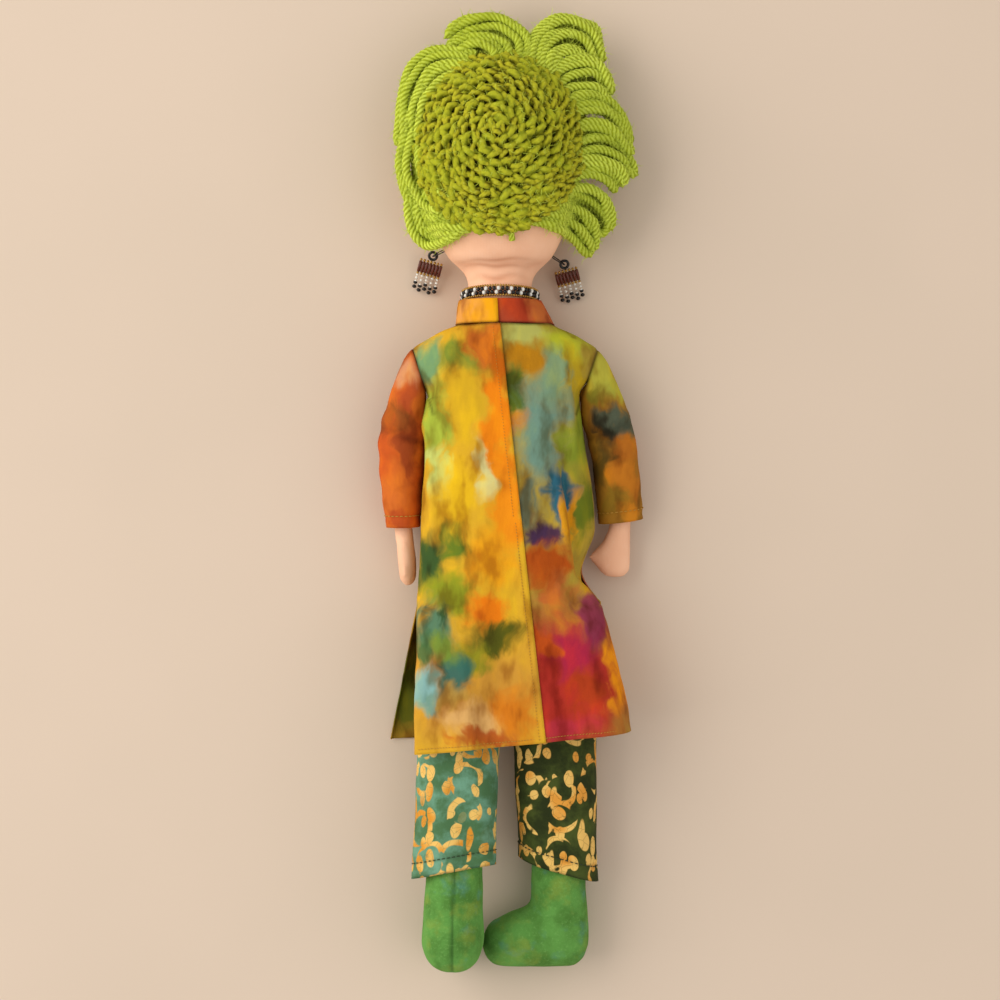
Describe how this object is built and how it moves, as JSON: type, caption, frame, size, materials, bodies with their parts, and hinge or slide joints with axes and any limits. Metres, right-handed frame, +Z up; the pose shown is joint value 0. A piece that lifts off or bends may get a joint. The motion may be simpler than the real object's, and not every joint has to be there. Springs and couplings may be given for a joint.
{
  "type": "cloth doll",
  "caption": "Stuffed cloth doll lying face down, with a crocheted yarn wig, dyed tunic, printed trousers, fleece boots, bead choker and hinged bead earrings.",
  "frame": {"origin": "middle of the bounding box, on the table under the doll as it lies face down", "axes": "+Y from the boots to the head, +Z up out of the table, out of the doll's back, +X to the right seen from its back"},
  "size_m": [0.1392, 0.5014, 0.0664],
  "materials": {
    "skin_cotton": "plain weave cotton, matt",
    "lime_yarn": "thick wool yarn, fuzzy",
    "dyed_cotton": "smooth printed cotton, many dye colours",
    "printed_cotton": "printed cotton, matt",
    "green_fleece": "brushed fleece, fuzzy",
    "glass_beads": "polished",
    "bugle_beads": "polished, dark amber",
    "white_elastic": "knitted elastic"
  },
  "bodies": {
    "torso": {"torso": "skin_cotton", "tunic_back_left": "dyed_cotton", "tunic_back_right": "dyed_cotton", "tunic_front": "dyed_cotton", "collar": "dyed_cotton", "back_placket": "dyed_cotton", "trouser_seat": "printed_cotton", "waist_elastic": "white_elastic"},
    "neck": {"choker": "glass_beads"},
    "head": {"head": "skin_cotton", "crochet_cap": "lime_yarn", "lock_top_left": "lime_yarn", "lock_top_right": "lime_yarn", "lock_right_upper": "lime_yarn", "lock_right_middle": "lime_yarn", "lock_right_lower": "lime_yarn", "lock_right_nape": "lime_yarn", "lock_left_upper": "lime_yarn", "lock_left_lower": "lime_yarn", "lock_left_nape": "lime_yarn", "fringe_left": "lime_yarn", "fringe_right": "lime_yarn", "left_earring_hook": "glass_beads", "right_earring_hook": "glass_beads"},
    "left_earring": {"left_earring_panel": "bugle_beads", "left_earring_fringe": "glass_beads"},
    "right_earring": {"right_earring_panel": "bugle_beads", "right_earring_fringe": "glass_beads"},
    "left_arm": {"left_arm": "skin_cotton", "left_sleeve": "dyed_cotton"},
    "right_arm": {"right_arm": "skin_cotton", "right_sleeve": "dyed_cotton"},
    "lap": {"skirt_back_left": "dyed_cotton", "skirt_back_right": "dyed_cotton", "skirt_front": "dyed_cotton"},
    "left_leg": {"left_thigh": "skin_cotton", "left_trouser_leg": "printed_cotton"},
    "right_leg": {"right_thigh": "skin_cotton", "right_trouser_leg": "printed_cotton"},
    "left_foot": {"left_boot": "green_fleece"},
    "right_foot": {"right_boot": "green_fleece"}
  },
  "joints": [
    {"name": "head_turn", "type": "hinge", "parent": "torso", "child": "neck", "pos_m": [-0.0056, 0.10159, 0.0236], "axis": [0, 1, 0], "range_deg": [-35, 35]},
    {"name": "head_nod", "type": "hinge", "parent": "neck", "child": "head", "pos_m": [-0.0056, 0.10159, 0.0236], "axis": [1, 0, 0], "range_deg": [-12, 15]},
    {"name": "left_earring_swing", "type": "hinge", "parent": "head", "child": "left_earring", "pos_m": [-0.041, 0.12549, 0.00949], "axis": [-0.0943, -0.3288, 0.9397], "range_deg": [-25, 25]},
    {"name": "right_earring_swing", "type": "hinge", "parent": "head", "child": "right_earring", "pos_m": [0.0284, 0.12109, 0.00949], "axis": [0.0885, -0.3304, 0.9397], "range_deg": [-25, 25]},
    {"name": "left_shoulder", "type": "hinge", "parent": "torso", "child": "left_arm", "pos_m": [-0.047, 0.06259, 0.0236], "axis": [0.9511, 0.309, 0], "range_deg": [-50, 150]},
    {"name": "right_shoulder", "type": "hinge", "parent": "torso", "child": "right_arm", "pos_m": [0.041, 0.06259, 0.0236], "axis": [0.9511, -0.309, 0], "range_deg": [-50, 150]},
    {"name": "sit_fold", "type": "hinge", "parent": "torso", "child": "lap", "pos_m": [-0.003, -0.05581, -0.00001], "axis": [1, 0, 0], "range_deg": [0, 90]},
    {"name": "left_leg_spread", "type": "hinge", "parent": "lap", "child": "left_leg", "pos_m": [-0.0262, -0.07571, 0.0203], "axis": [0, 0, -1], "range_deg": [0, 7]},
    {"name": "right_leg_spread", "type": "hinge", "parent": "lap", "child": "right_leg", "pos_m": [0.0218, -0.07571, 0.0203], "axis": [0, 0, 1], "range_deg": [0, 7]},
    {"name": "left_foot_turn", "type": "hinge", "parent": "left_leg", "child": "left_foot", "pos_m": [-0.02818, -0.15696, 0.03112], "axis": [0.0242, 0.991, -0.132], "range_deg": [0, 60]},
    {"name": "right_foot_turn", "type": "hinge", "parent": "right_leg", "child": "right_foot", "pos_m": [0.02381, -0.15766, 0.01824], "axis": [0.0244, -0.9994, -0.025], "range_deg": [0, 150]}
  ]
}
